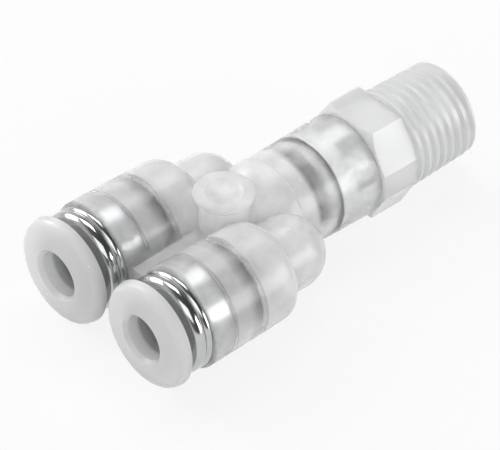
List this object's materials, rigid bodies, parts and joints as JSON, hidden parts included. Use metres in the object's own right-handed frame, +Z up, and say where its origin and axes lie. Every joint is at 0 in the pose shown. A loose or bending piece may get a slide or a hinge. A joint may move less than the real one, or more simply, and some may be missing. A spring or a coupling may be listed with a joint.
{
  "type": "tubing y connector",
  "caption": "Push-in Y connector for small plastic tube, with side-by-side sockets and a swivelling male taper thread.",
  "frame": {"origin": "on the stud's axis, at the shoulder between its hexagon and its thread", "axes": "+X out along the thread, +Y to the left socket, +Z up, square to the plane of the Y"},
  "size_m": [0.0586, 0.031, 0.0148],
  "materials": {
    "body_plastic": "frosted, lets light through",
    "stud_plastic": "frosted, lets light through",
    "ring_plastic": "frosted, lets light through",
    "clip_plastic": "satin",
    "sleeve_steel": "polished",
    "claw_steel": "satin",
    "seal_rubber": "matte"
  },
  "bodies": {
    "body": {"y_body": "body_plastic", "snap_ring": "clip_plastic", "guide_sleeve_left": "sleeve_steel", "guide_sleeve_right": "sleeve_steel", "lock_claws_left": "claw_steel", "lock_claws_right": "claw_steel", "tube_seal_left": "seal_rubber", "tube_seal_right": "seal_rubber"},
    "stud": {"threaded_stud": "stud_plastic", "swivel_seal": "seal_rubber"},
    "left_release": {"release_ring_left": "ring_plastic"},
    "right_release": {"release_ring_right": "ring_plastic"}
  },
  "joints": [
    {"name": "stud_swivel", "type": "hinge", "parent": "body", "child": "stud", "pos_m": [0, 0, 0], "axis": [1, 0, 0], "continuous": true},
    {"name": "left_release_push", "type": "slide", "parent": "body", "child": "left_release", "axis": [1, 0, 0], "range_m": [0, 0.00135], "stiffness_N_per_m": 400},
    {"name": "right_release_push", "type": "slide", "parent": "body", "child": "right_release", "axis": [1, 0, 0], "range_m": [0, 0.00135], "stiffness_N_per_m": 400}
  ]
}
